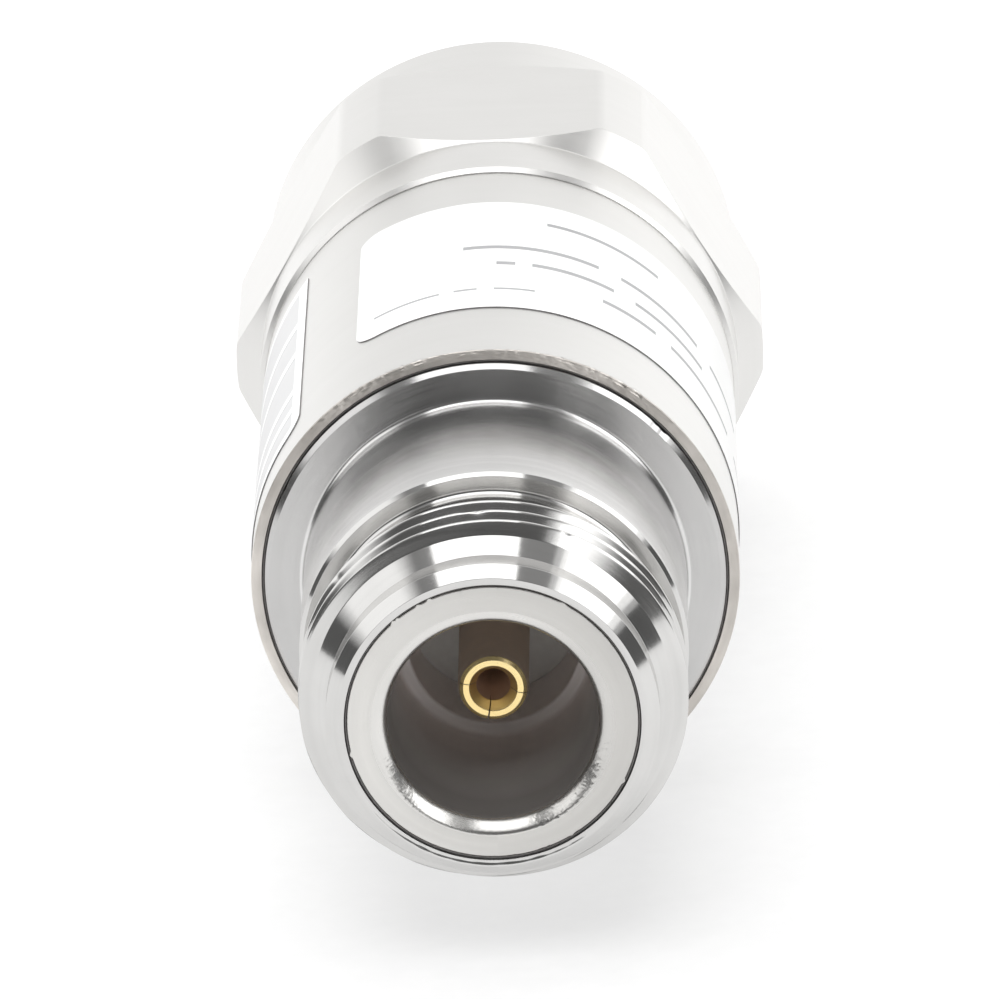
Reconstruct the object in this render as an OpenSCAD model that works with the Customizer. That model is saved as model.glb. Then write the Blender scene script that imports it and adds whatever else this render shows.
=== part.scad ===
// Fixed coaxial attenuator with a threaded jack at one end and a plug with a
// hexagon coupling nut at the other.
// The coaxial axis is Y. The origin is the centre of the jack's front face,
// +Y runs towards the plug, +Z is up, and a flat of the nut faces down.

/* [Jack end] */
// Outside diameter of the jack's thread
thread_d = 15.88; // [15.7:0.01:16]
// Length of the threaded part
thread_l = 2.6; // [2.4:0.1:3.2]
// Diameter at the bottom of the thread relief
relief_d = 14.2; // [14:0.1:14.6]
// Diameter of the neck between the thread and the flange
neck_d = 15.98; // [15.94:0.02:17]
// Distance from the jack's front face to the flange's face
jack_l = 15.5; // [15.3:0.05:18]
// Diameter of the flange
flange_d = 19.24; // [19:0.02:19.3]
// Bore that receives the plug's outer contact
jack_bore_d = 8.2; // [8.1:0.05:8.4]
// Depth of the reference shoulder behind the front face
jack_shoulder_y = 8.55; // [8.4:0.05:9.2]
// Depth of the socket's tip behind the front face
socket_tip_y = 3.7; // [3.2:0.1:4.4]

/* [Centre line] */
// Diameter of the inner conductor
core_d = 3.04; // [2.8:0.02:3.2]
// Inside diameter of the outer conductor
line_d = 7; // [6.8:0.1:7.2]
// Diameter of the centre pin and of the hole in the socket
pin_d = 1.6; // [1.5:0.02:1.7]
// Width of the socket's slots
socket_slot_w = 0.08; // [0.06:0.01:0.2]
// How far the socket's slots are turned from upright, in degrees
socket_turn = 11; // [0:1:45]

/* [Body] */
// Outside diameter of the body tube
body_d = 20.38; // [20.2:0.02:20.5]
// Length of the body tube
body_l = 21.5; // [21.3:0.05:30]
// Bore of the body tube
body_bore_d = 17.2; // [16.8:0.1:17.6]
// Distance from the tube's rim to the label's near edge
label_from = 5; // [2:0.05:6]
// Length of the label along the axis
label_l = 12.8; // [10:0.1:14]
// How far the label reaches round the tube, in degrees
label_turn = 230; // [120:1:240]
// Distance from the tube's rim to the side label's near edge
side_from = 2.25; // [1:0.05:3]
// Length of the side label along the axis
side_l = 17.3; // [10:0.1:17.5]
// How far the side label reaches round the tube, in degrees
side_turn = 78; // [30:1:90]

/* [Card] */
// Thickness of the resistor card
card_t = 0.5; // [0.4:0.05:0.7]
// Width of the resistor card
card_w = 9; // [8.6:0.1:10]

/* [Plug end] */
// Free gap between the body tube and the nut
nut_gap = 0.15; // [0.1:0.05:1]
// Size of the nut across its flats
nut_af = 21; // [20.96:0.02:22]
// Diameter the nut's corners are turned to
nut_corner_d = 23.1; // [22.6:0.1:23.6]
// Length of the nut
nut_l = 16.75; // [16:0.05:19]
// Diameter of the nut's round collar
collar_d = 20.84; // [20:0.02:20.88]
// Length of the nut's round collar
collar_l = 3.36; // [2.5:0.02:4]
// Diameter of the nut's round barrel at the mating end
barrel_d = 20.92; // [20.2:0.02:20.92]
// Length of the nut's round barrel
barrel_l = 3.6; // [2:0.05:6]
// Diameter of the shank that the nut turns on
shank_d = 14.4; // [14.2:0.1:14.6]
// Outside diameter of the slotted outer contact
ferrule_d = 7.98; // [7.9:0.02:8.02]
// Thickness of the rubber washer in the nut
gasket_t = 1.2; // [1:0.1:1.3]

/* [Hidden] */
$fn = 144;

thread_r = thread_d / 2;
relief_r = relief_d / 2;
neck_r = neck_d / 2;
flange_r = flange_d / 2;
core_r = core_d / 2;
line_r = line_d / 2;
pin_r = pin_d / 2;
body_r = body_d / 2;
body_bore_r = body_bore_d / 2;
shank_r = shank_d / 2;
ferrule_r = ferrule_d / 2;

// Jack stations along the axis
sleeve_r = 6;             // bore of the shell, where the inner sleeve is pressed in
face_r = 5.87;            // the sleeve's ring at the face, clear of the nose
face_y = 0.1;             // the ring lies a little behind the nose
thread_y = 2.13;
relief_end_y = 7.38;
flange_t = 3.46;
bead_r = 4.6;
bead_y = 12;
sleeve_end_y = 14.6;

// Body stations
rim_y = jack_l + 0.26;
flange_back_y = jack_l + flange_t;
body_end_y = rim_y + body_l;
rim_bore_r = flange_r + 0.13;
block_y0 = flange_back_y + 3.8;
block_y1 = body_end_y - 4.5;
card_y0 = block_y0 + 0.3;
card_y1 = block_y1 - 0.3;
grip = 1.7;               // how far each conductor's split end holds the card
label_t = 0.05;

// Plug stations
nut_y0 = body_end_y + nut_gap;
collar_r = collar_d / 2;
corner_r = nut_corner_d / 2;
cone_y = nut_y0 + collar_l;  // the hexagon's corners are turned off at 45 degrees at both of its ends
nut_y1 = nut_y0 + nut_l;
barrel_r = barrel_d / 2;
barrel_y = nut_y1 - barrel_l;
ring_y = nut_y0 + 1.7;    // snap ring groove in the shank
ring_w = 1.0;
ferrule_y0 = nut_y0 + 0.3;
plug_bead_y = ferrule_y0 - 2.6;
ref_y = nut_y1 - 1.4;     // the plug's reference plane, at the end of the outer contact
seat_y = ref_y - 8.6;     // where the mating jack's face meets the washer
shank_end_y = seat_y - gasket_t;
ferrule_base_r = 4.2;     // the outer contact where the washer sits on it
run = 0.05;               // running clearance between the nut and the shank
nut_bore_r = 7.99;        // room for the mating thread

// Points along a circular arc, for fillets and rounded edges
function arc(cx, cy, r, a0, a1, n = 6) =
    [for (i = [0:n]) let (a = a0 + (a1 - a0) * i / n) [cx + r * cos(a), cy + r * sin(a)]];

// Turned solid: points are [radius, distance along the axis]
module turned(pts) { rotate([-90, 0, 0]) rotate_extrude() polygon(pts); }

// Part-turn about the axis: starts left degrees left of the top, runs clockwise seen from the jack
module part_turned(pts, left, sweep) {
    rotate([-90, 0, 0]) rotate([0, 0, 270 - left]) rotate_extrude(angle = sweep) polygon(pts);
}

// Narrow saw cuts through a tube wall, spaced evenly round the axis
module saw_cuts(count, w, y0, y1, reach, turn = 0) {
    for (i = [0:count - 1])
        rotate([0, turn + i * 360 / count, 0])
            translate([-w / 2, y0, 0]) cube([w, y1 - y0, reach]);
}

module jack_shell() {
    color([0.80, 0.80, 0.79])
    turned(concat(
        [[sleeve_r, 0], [6.3, 0], [6.77, 0.45], [6.77, 1.38], [7.38, 1.98],
         [thread_r, thread_y], [thread_r, thread_y + thread_l],
         [relief_r, thread_y + thread_l + 0.5]],
        arc(relief_r + 0.22, relief_end_y - 0.22, 0.22, 180, 90),
        [[neck_r - 0.15, relief_end_y], [neck_r, relief_end_y + 0.15]],
        arc(neck_r + 0.3, jack_l - 0.3, 0.3, 180, 90),
        [[flange_r - 0.2, jack_l], [flange_r, jack_l + 0.2],
         [flange_r, flange_back_y], [body_bore_r, flange_back_y], [body_bore_r, block_y0],
         [line_r, block_y0], [line_r, sleeve_end_y], [sleeve_r, sleeve_end_y]]));
}

module jack_sleeve() {
    color([0.78, 0.77, 0.74])
    turned(concat(
        arc(4.86, face_y + 0.5, 0.5, 180, 270),
        [[face_r - 0.06, face_y], [face_r, face_y + 0.06], [face_r, 2],
         [sleeve_r, 2.2], [sleeve_r, sleeve_end_y], [bead_r, sleeve_end_y], [bead_r, bead_y],
         [line_r, bead_y], [line_r, jack_shoulder_y], [jack_bore_d / 2, jack_shoulder_y],
         [jack_bore_d / 2, 2.4]]));
}

module socket_contact() {
    color([0.86, 0.66, 0.28])
    difference() {
        turned([[pin_r + 0.19, socket_tip_y], [core_r - 0.24, socket_tip_y],
                [core_r - 0.10, socket_tip_y + 0.07], [core_r, socket_tip_y + 0.35],
                [core_r, card_y0 + grip], [0, card_y0 + grip],
                [0, socket_tip_y + 6.4], [pin_r, socket_tip_y + 6], [pin_r, socket_tip_y + 0.45]]);
        saw_cuts(4, socket_slot_w, socket_tip_y - 0.5, socket_tip_y + 5.2, 2, socket_turn);
        translate([-core_d, card_y0, -card_t / 2]) cube([2 * core_d, grip + 1, card_t]);
    }
}

module jack_bead() {
    color([0.94, 0.94, 0.92])
    turned([[core_r, bead_y], [bead_r, bead_y], [bead_r, sleeve_end_y], [core_r, sleeve_end_y]]);
}

module body_sleeve() {
    color([0.85, 0.84, 0.81])
    turned([[rim_bore_r, rim_y], [body_r - 0.08, rim_y], [body_r, rim_y + 0.08],
            [body_r, body_end_y - 0.1], [body_r - 0.1, body_end_y], [body_bore_r, body_end_y],
            [body_bore_r, flange_back_y], [rim_bore_r, flange_back_y]]);
}

module label() {
    color([0.97, 0.97, 0.96])
    part_turned([[body_r, rim_y + label_from], [body_r + label_t, rim_y + label_from],
                 [body_r + label_t, rim_y + label_from + label_l],
                 [body_r, rim_y + label_from + label_l]], 32.8, label_turn);
}

module side_label() {
    color([0.96, 0.96, 0.95])
    part_turned([[body_r, rim_y + side_from], [body_r + label_t, rim_y + side_from],
                 [body_r + label_t, rim_y + side_from + side_l],
                 [body_r, rim_y + side_from + side_l]], 51.2 + side_turn, side_turn);
}

module ground_block(up) {
    difference() {
        turned([[line_r, block_y0], [body_bore_r, block_y0],
                [body_bore_r, block_y1], [line_r, block_y1]]);
        translate([-20, block_y0 - 1, up ? -20 : 0]) cube([40, block_y1 - block_y0 + 2, 20]);
        translate([-card_w / 2, card_y0, -card_t / 2]) cube([card_w, card_y1 - card_y0, card_t]);
    }
}

module upper_ground_block() { color([0.80, 0.72, 0.50]) ground_block(true); }

module lower_ground_block() { color([0.80, 0.72, 0.50]) ground_block(false); }

module resistor_card() {
    color([0.93, 0.92, 0.88])
    translate([-card_w / 2, card_y0, -card_t / 2]) cube([card_w, card_y1 - card_y0, card_t]);
}

module plug_body() {
    color([0.80, 0.80, 0.79])
    turned([[line_r, block_y1], [body_bore_r, block_y1], [body_bore_r, body_end_y],
            [shank_r, body_end_y], [shank_r, ring_y], [shank_r - 0.7, ring_y],
            [shank_r - 0.7, ring_y + ring_w], [shank_r, ring_y + ring_w],
            [shank_r, shank_end_y - 0.2], [shank_r - 0.2, shank_end_y],
            [4.9, shank_end_y], [4.9, ferrule_y0], [bead_r, ferrule_y0],
            [bead_r, plug_bead_y], [line_r, plug_bead_y]]);
}

module plug_ferrule() {
    color([0.84, 0.83, 0.80])
    difference() {
        turned([[line_r, ferrule_y0], [4.9, ferrule_y0], [4.9, shank_end_y],
                [ferrule_base_r, shank_end_y], [ferrule_base_r, seat_y], [ferrule_r, seat_y],
                [ferrule_r, ref_y - 0.2], [ferrule_r - 0.2, ref_y], [line_r, ref_y]]);
        saw_cuts(6, 0.3, ref_y - 7.2, ref_y + 1, 6, socket_turn);
    }
}

module plug_pin() {
    color([0.86, 0.66, 0.28])
    difference() {
        turned([[0, card_y1 - grip], [core_r, card_y1 - grip], [core_r, ref_y - 5.5],
                [core_r - 0.15, ref_y - 5.35], [pin_r, ref_y - 5.35], [pin_r, ref_y - 1.1],
                [0.38, ref_y - 0.25], [0.2, ref_y - 0.15], [0, ref_y - 0.15]]);
        translate([-core_d, card_y1 - grip - 1, -card_t / 2]) cube([2 * core_d, grip + 1, card_t]);
    }
}

module plug_bead() {
    color([0.94, 0.94, 0.92])
    turned([[core_r, plug_bead_y], [bead_r, plug_bead_y], [bead_r, ferrule_y0],
            [core_r, ferrule_y0]]);
}

module snap_ring() {
    color([0.62, 0.62, 0.63])
    part_turned([[shank_r - 0.65, ring_y + 0.1], [shank_r + 0.5, ring_y + 0.1],
                 [shank_r + 0.5, ring_y + ring_w - 0.1], [shank_r - 0.65, ring_y + ring_w - 0.1]],
                165, 330);
}

module nut_gasket() {
    color([0.62, 0.22, 0.14])
    turned([[ferrule_base_r, shank_end_y], [7, shank_end_y], [7, seat_y - 0.2],
            [6.8, seat_y], [ferrule_base_r, seat_y]]);
}

module coupling_nut() {
    color([0.86, 0.85, 0.82])
    difference() {
        intersection() {
            translate([0, nut_y0, 0]) rotate([-90, 0, 0])
                linear_extrude(height = nut_l) circle(r = nut_af / 2 / cos(30), $fn = 6);
            turned([[0, nut_y0], [collar_r - 0.17, nut_y0], [collar_r, nut_y0 + 0.17],
                    [collar_r, cone_y], [corner_r, cone_y + corner_r - collar_r],
                    [corner_r, barrel_y - corner_r + barrel_r], [barrel_r, barrel_y],
                    [barrel_r, nut_y1 - 0.2], [barrel_r - 0.2, nut_y1], [0, nut_y1]]);
        }
        turned([[0, nut_y0 - 1], [shank_r + run, nut_y0 - 1], [shank_r + run, ring_y - 0.15],
                [shank_r + 0.77, ring_y - 0.15], [shank_r + 0.77, ring_y + ring_w + 0.15],
                [shank_r + run, ring_y + ring_w + 0.15], [shank_r + run, nut_y0 + 4.1],
                [nut_bore_r, nut_y0 + 4.1], [nut_bore_r, nut_y1 - 0.5],
                [nut_bore_r + 0.5, nut_y1], [nut_bore_r + 0.5, nut_y1 + 1], [0, nut_y1 + 1]]);
    }
}

jack_shell();
jack_sleeve();
socket_contact();
jack_bead();
body_sleeve();
label();
side_label();
upper_ground_block();
lower_ground_block();
resistor_card();
plug_body();
plug_ferrule();
plug_pin();
plug_bead();
snap_ring();
nut_gasket();
coupling_nut();
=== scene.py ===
import math

import bpy
import numpy as np
from mathutils import Matrix, Vector


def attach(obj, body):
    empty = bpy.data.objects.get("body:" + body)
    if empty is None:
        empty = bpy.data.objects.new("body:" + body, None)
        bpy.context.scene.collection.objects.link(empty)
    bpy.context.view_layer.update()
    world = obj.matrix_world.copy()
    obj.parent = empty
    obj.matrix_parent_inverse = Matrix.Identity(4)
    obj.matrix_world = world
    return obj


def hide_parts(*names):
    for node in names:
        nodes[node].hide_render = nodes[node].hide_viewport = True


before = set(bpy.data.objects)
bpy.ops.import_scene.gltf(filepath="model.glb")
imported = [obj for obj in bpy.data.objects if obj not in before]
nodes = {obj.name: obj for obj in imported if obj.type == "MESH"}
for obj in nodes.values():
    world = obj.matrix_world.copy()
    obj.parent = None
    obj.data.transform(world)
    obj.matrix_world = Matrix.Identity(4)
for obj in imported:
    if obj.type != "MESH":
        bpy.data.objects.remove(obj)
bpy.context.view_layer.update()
scene = bpy.context.scene
MM = 0.001

# ---------------------------------------------------------------- sizes (mm), as in the solids
THREAD_R, RELIEF_R, NECK_R, FLANGE_R = 7.94, 7.10, 7.99, 9.62
PITCH = 25.4 / 24
SLEEVE_R, FACE_R, FACE_Y = 6.0, 5.87, 0.10
FACE_EDGE_R = FACE_R + 0.025
JACK_L, FLANGE_BACK, BLOCK_Y0 = 15.5, 18.96, 22.76
RELIEF_END = 7.38
BORE_R, SHOULDER_Y, LINE_R = 4.1, 8.55, 3.5
BEAD_R, BEAD_Y, SLEEVE_END = 4.6, 12.0, 14.6
TIP_Y, CORE_R, PIN_R = 3.7, 1.52, 0.8
BODY_R, BODY_BORE_R, RIM_Y, BODY_END = 10.19, 8.6, 15.76, 37.26
RIM_BORE_R = FLANGE_R + 0.13
LABEL_Y0, LABEL_Y1, LABEL_T = RIM_Y + 5.0, RIM_Y + 17.8, 0.05
SIDE_Y0, SIDE_Y1 = RIM_Y + 2.25, RIM_Y + 19.55
NUT_Y0, NUT_Y1 = 37.41, 54.16
BARREL_R, BARREL_Y = 10.46, 54.16 - 3.6
AF, CORNER_R, COLLAR_R, CONE_Y = 21.0, 11.55, 10.42, 37.41 + 3.36
SHANK_R, RUN, NUT_BORE_R = 7.2, 0.05, 7.99
RING_Y, RING_W = 37.41 + 1.7, 1.0
REF_Y = NUT_Y1 - 1.4
SEAT_Y = REF_Y - 8.6
SHANK_END = SEAT_Y - 1.2
FERRULE_R, FERRULE_BASE_R, FERRULE_Y0 = 3.99, 4.2, NUT_Y0 + 0.3
CARD_Y0, CARD_Y1, GRIP, CARD_T = BLOCK_Y0 + 0.3, 32.46, 1.7, 0.5

# ---------------------------------------------------------------- small helpers
_rng = np.random.default_rng(7)
_G = _rng.random((256, 256))


def vnoise(u, v):
    """Smooth value noise in 0..1 on a wrapped grid."""
    u, v = np.asarray(u, float), np.asarray(v, float)
    iu, iv = np.floor(u).astype(int), np.floor(v).astype(int)
    fu, fv = u - iu, v - iv
    fu, fv = fu * fu * (3 - 2 * fu), fv * fv * (3 - 2 * fv)
    g = lambda a, b: _G[a % 256, b % 256]
    return (g(iu, iv) * (1 - fu) + g(iu + 1, iv) * fu) * (1 - fv) + \
           (g(iu, iv + 1) * (1 - fu) + g(iu + 1, iv + 1) * fu) * fv


def zone(P, a0, a1, soft=0.08):
    """1 between the angles a0 and a1 (degrees from the top towards +X), falling to 0 outside."""
    mid, half = math.radians((a0 + a1) / 2), math.radians((a1 - a0) / 2)
    off = np.abs((P - mid + np.pi) % (2 * np.pi) - np.pi)
    return np.clip((half + soft - off) / soft, 0, 1)


def rounded(pts, closed=True, seg_deg=15.0):
    """Outline from (r, y, edge radius[, arc steps]) corners, each corner rounded."""
    out, n = [], len(pts)
    for i, p in enumerate(pts):
        rad = p[2] if len(p) > 2 else 0.0
        b = np.array(p[:2], float)
        if rad <= 0 or (not closed and i in (0, n - 1)):
            out.append(b)
            continue
        a, c = np.array(pts[i - 1][:2], float), np.array(pts[(i + 1) % n][:2], float)
        u, w = a - b, c - b
        lu, lw = np.linalg.norm(u), np.linalg.norm(w)
        u, w = u / lu, w / lw
        inner = math.acos(max(-1.0, min(1.0, float(u @ w))))
        turn = math.pi - inner
        steps = p[3] if len(p) > 3 else max(2, math.ceil(math.degrees(turn) / seg_deg))
        if turn < 1e-3:
            out += [b] * (steps + 1) if len(p) > 3 else [b]
            continue
        t = min(rad * math.tan(turn / 2), 0.46 * lu, 0.46 * lw)
        rad = t / math.tan(turn / 2)
        mid = (u + w) / np.linalg.norm(u + w)
        centre = b + mid * (rad / math.sin(inner / 2))
        p0 = b + u * t - centre
        sign = 1.0 if (u[0] * w[1] - u[1] * w[0]) < 0 else -1.0
        for k in range(steps + 1):
            ang = sign * turn * k / steps
            ca, sa = math.cos(ang), math.sin(ang)
            out.append(centre + np.array([p0[0] * ca - p0[1] * sa, p0[0] * sa + p0[1] * ca]))
    return np.array(out)


def by_size(faces):
    """Faces as arrays, grouped by their number of corners."""
    groups = {}
    for i, f in enumerate(faces):
        groups.setdefault(len(f), []).append(i)
    return [np.array([faces[i] for i in ids]) for ids in groups.values()]


def area_vectors(v, q):
    """Area times normal of each face in one array of faces."""
    p = v[q]
    s = np.zeros((len(q), 3))
    for j in range(1, q.shape[1] - 1):
        s += np.cross(p[:, j] - p[:, 0], p[:, j + 1] - p[:, 0])
    return s / 2


def make(name, verts, faces, mats, index=None, body="body", replaces=None):
    """Mesh piece from millimetre points, with smooth normals weighted by face area."""
    me = bpy.data.meshes.new(name)
    verts = np.asarray(verts, float)
    faces = [[int(k) for k in f] for f in faces]
    me.from_pydata((verts * MM).tolist(), [], faces)
    me.update()
    for m in mats:
        me.materials.append(m)
    if index is not None:
        me.polygons.foreach_set("material_index", np.asarray(index, np.int32))
    me.polygons.foreach_set("use_smooth", np.ones(len(me.polygons), bool))
    normals = np.zeros((len(verts), 3))
    for q in by_size(faces):
        np.add.at(normals, q.ravel(), np.repeat(area_vectors(verts, q), q.shape[1], 0))
    normals /= np.maximum(np.linalg.norm(normals, axis=1, keepdims=True), 1e-20)
    me.normals_split_custom_set_from_vertices(normals.tolist())
    me.update()
    ob = bpy.data.objects.new(name, me)
    scene.collection.objects.link(ob)
    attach(ob, body)
    if replaces:
        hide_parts(*([replaces] if isinstance(replaces, str) else replaces))
    return ob


def grid_faces(rows, cols, wrap_rows=True, wrap_cols=True):
    i = np.arange(rows if wrap_rows else rows - 1)
    j = np.arange(cols if wrap_cols else cols - 1)
    I, J = np.meshgrid(i, j, indexing="ij")
    I2, J2 = (I + 1) % rows, (J + 1) % cols
    q = np.stack([I * cols + J, I2 * cols + J, I2 * cols + J2, I * cols + J2], -1)
    return q.reshape(-1, 4)


def outward(verts, faces):
    """Turns the faces so that the closed shape's volume is positive."""
    v = np.asarray(verts)
    vol = sum(float((v[q[:, 0]] * area_vectors(v, q)).sum()) for q in by_size(faces))
    return [list(f)[::-1] for f in faces] if vol < 0 else [list(f) for f in faces]


def turn(R, Y, phi):
    """Points at radius R and station Y, phi round from the top towards +X."""
    return np.stack([R * np.sin(phi), Y + 0 * phi, R * np.cos(phi)], -1)


def revolve(prof, cols, shape=None):
    """Closed ring solid. shape(R, Y, PHI) may return changed R, Y."""
    prof = np.asarray(prof)
    phi = np.arange(cols) * 2 * np.pi / cols
    R = np.repeat(prof[:, :1], cols, 1)
    Y = np.repeat(prof[:, 1:2], cols, 1)
    P = np.repeat(phi[None], len(prof), 0)
    if shape:
        R, Y = shape(R, Y, P)
    V = turn(R, Y, P).reshape(-1, 3)
    return V, outward(V, grid_faces(len(prof), cols))


def spindle(prof, cols):
    """Solid of revolution whose outline starts and ends on the axis."""
    prof = np.asarray(prof)
    phi = np.arange(cols) * 2 * np.pi / cols
    mid = prof[1:-1]
    V = turn(np.repeat(mid[:, :1], cols, 1), np.repeat(mid[:, 1:2], cols, 1),
             np.repeat(phi[None], len(mid), 0)).reshape(-1, 3)
    F = [list(f) for f in grid_faces(len(mid), cols, wrap_rows=False)]
    n = len(V)
    V = np.vstack([V, [[0, prof[0][1], 0], [0, prof[-1][1], 0]]])
    last = (len(mid) - 1) * cols
    for j in range(cols):
        F.append([n, j, (j + 1) % cols])
        F.append([n + 1, last + (j + 1) % cols, last + j])
    return V, outward(V, F)


def sector(prof, a0, a1, cols):
    """Closed solid from angle a0 to a1 (single values, or one for each outline point). Its ends have their own
    points, so they stay crisp."""
    prof = np.asarray(prof)
    rows = len(prof)
    a0, a1 = np.broadcast_to(a0, rows), np.broadcast_to(a1, rows)
    phi = a0[:, None] + (a1 - a0)[:, None] * np.linspace(0, 1, cols)[None]
    V = turn(np.repeat(prof[:, :1], cols, 1), np.repeat(prof[:, 1:2], cols, 1), phi).reshape(-1, 3)
    F = [list(f) for f in grid_faces(rows, cols, wrap_cols=False)]
    first, last = [i * cols for i in range(rows)], [i * cols + cols - 1 for i in range(rows)]
    n = len(V)
    V = np.vstack([V, V[first], V[last]])
    F.append(list(range(n, n + rows))[::-1])
    F.append(list(range(n + rows, n + 2 * rows)))
    return V, outward(V, F)


def joined(parts):
    V, F, base = [], [], 0
    for v, f in parts:
        V.append(np.asarray(v))
        F += [[k + base for k in q] for q in f]
        base += len(v)
    return np.vstack(V), F


# ---------------------------------------------------------------- materials
def new_mat(name):
    m = bpy.data.materials.new(name)
    m.use_nodes = True
    nt = m.node_tree
    nt.nodes.clear()
    out = nt.nodes.new("ShaderNodeOutputMaterial")
    bs = nt.nodes.new("ShaderNodeBsdfPrincipled")
    nt.links.new(bs.outputs["BSDF"], out.inputs["Surface"])
    return m, nt, bs


def math_node(nt, op, a, b=None):
    n = nt.nodes.new("ShaderNodeMath")
    n.operation = op
    for k, v in enumerate((a, b)):
        if v is None:
            continue
        if isinstance(v, (int, float)):
            n.inputs[k].default_value = v
        else:
            nt.links.new(v, n.inputs[k])
    return n.outputs[0]


def coords(nt):
    tc = nt.nodes.new("ShaderNodeTexCoord")
    sep = nt.nodes.new("ShaderNodeSeparateXYZ")
    nt.links.new(tc.outputs["Object"], sep.inputs[0])
    x, y, z = sep.outputs
    r = math_node(nt, "SQRT", math_node(nt, "ADD", math_node(nt, "MULTIPLY", x, x),
                                        math_node(nt, "MULTIPLY", z, z)))
    ang = math_node(nt, "ARCTAN2", x, z)
    return tc.outputs["Object"], x, y, z, r, ang


def combine(nt, a, b, c):
    n = nt.nodes.new("ShaderNodeCombineXYZ")
    for k, v in enumerate((a, b, c)):
        if isinstance(v, (int, float)):
            n.inputs[k].default_value = v
        else:
            nt.links.new(v, n.inputs[k])
    return n.outputs[0]


def noise(nt, vec, scale, detail=2.0, rough=0.5):
    n = nt.nodes.new("ShaderNodeTexNoise")
    nt.links.new(vec, n.inputs["Vector"])
    n.inputs["Scale"].default_value = scale
    n.inputs["Detail"].default_value = detail
    n.inputs["Roughness"].default_value = rough
    return n.outputs["Fac"]


def ramp(nt, fac, stops):
    n = nt.nodes.new("ShaderNodeValToRGB")
    nt.links.new(fac, n.inputs["Fac"])
    el = n.color_ramp.elements
    while len(el) < len(stops):
        el.new(0.5)
    for e, (p, c) in zip(el, stops):
        e.position = p
        e.color = (*c, 1.0) if len(c) == 3 else c
    return n.outputs["Color"]


def span(nt, fac, lo, hi, a=0.0, b=1.0):
    n = nt.nodes.new("ShaderNodeMapRange")
    nt.links.new(fac, n.inputs["Value"])
    n.inputs["From Min"].default_value = a
    n.inputs["From Max"].default_value = b
    n.inputs["To Min"].default_value = lo
    n.inputs["To Max"].default_value = hi
    return n.outputs["Result"]


def bump(nt, height, strength, distance, normal=None):
    n = nt.nodes.new("ShaderNodeBump")
    n.inputs["Strength"].default_value = strength
    n.inputs["Distance"].default_value = distance
    nt.links.new(height, n.inputs["Height"])
    if normal is not None:
        nt.links.new(normal, n.inputs["Normal"])
    return n.outputs["Normal"]


def turned_metal(name, light, dark, rough, aniso=0.5, lines=0.3, line_mm=14.0, grain=0.0, haze=0.0,
                 streak=1.2, wander=0.3, painted_side_shade=None):
    """Turned and plated metal: rings of fine tool marks about the axis, cloudy plating, fine grain."""
    m, nt, bs = new_mat(name)
    obj, x, y, z, r, ang = coords(nt)
    ring = combine(nt, math_node(nt, "MULTIPLY", r, line_mm * 1000.0),
                   math_node(nt, "MULTIPLY", y, line_mm * 1000.0),
                   math_node(nt, "MULTIPLY", ang, streak))
    fine = noise(nt, ring, 1.0, 3.0, 0.65)
    broad = noise(nt, ring, 0.13, 2.0, 0.5)
    cloud = noise(nt, obj, 260.0, 3.0, 0.55)
    mix = math_node(nt, "ADD", math_node(nt, "MULTIPLY", cloud, 0.6), math_node(nt, "MULTIPLY", broad, 0.4))
    stops = [(0.32, dark), (0.62, light)]
    if painted_side_shade:  # painted shade: the colour runs lighter on one side and darker on the other, standing in for how the light falls
        mix = math_node(nt, "ADD", mix, span(nt, x, *painted_side_shade))
        stops = [(0.0, tuple(0.84 * c for c in dark))] + stops + [(0.92, tuple(1.145 * c for c in light))]
    nt.links.new(ramp(nt, mix, stops), bs.inputs["Base Color"])
    rr = math_node(nt, "ADD", math_node(nt, "MULTIPLY", fine, 0.5), math_node(nt, "MULTIPLY", cloud, 0.5))
    nt.links.new(span(nt, rr, rough * (1 - wander), rough * (1 + wander), 0.3, 0.7), bs.inputs["Roughness"])
    nrm = bump(nt, fine, lines, 0.000006)
    if haze:
        patch = combine(nt, math_node(nt, "MULTIPLY", r, 2600.0), math_node(nt, "MULTIPLY", y, 2600.0),
                        math_node(nt, "MULTIPLY", ang, 11.0))
        nrm = bump(nt, noise(nt, patch, 1.0, 3.0, 0.6), haze, 0.00004, nrm)
    if grain:
        nrm = bump(nt, noise(nt, obj, 8500.0, 2.0, 0.55), grain, 0.00001, nrm)
    nt.links.new(nrm, bs.inputs["Normal"])
    bs.inputs["Metallic"].default_value = 1.0
    bs.inputs["Anisotropic"].default_value = aniso
    if aniso:
        bs.inputs["Anisotropic Rotation"].default_value = 0.25
        t = nt.nodes.new("ShaderNodeTangent")
        t.direction_type = "RADIAL"
        t.axis = "Y"
        nt.links.new(t.outputs[0], bs.inputs["Tangent"])
    return m


def matte(name, light, dark, rough, scale, bump_strength=0.3, bump_mm=0.02, metallic=0.0):
    m, nt, bs = new_mat(name)
    obj, *_ = coords(nt)
    n1 = noise(nt, obj, scale, 4.0, 0.6)
    n2 = noise(nt, obj, scale * 0.12, 2.0, 0.5)
    mix = math_node(nt, "ADD", math_node(nt, "MULTIPLY", n1, 0.5), math_node(nt, "MULTIPLY", n2, 0.5))
    nt.links.new(ramp(nt, mix, [(0.35, dark), (0.65, light)]), bs.inputs["Base Color"])
    nt.links.new(span(nt, n1, rough * 0.85, rough * 1.12, 0.3, 0.7), bs.inputs["Roughness"])
    nt.links.new(bump(nt, n1, bump_strength, bump_mm * MM), bs.inputs["Normal"])
    bs.inputs["Metallic"].default_value = metallic
    return m


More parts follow.
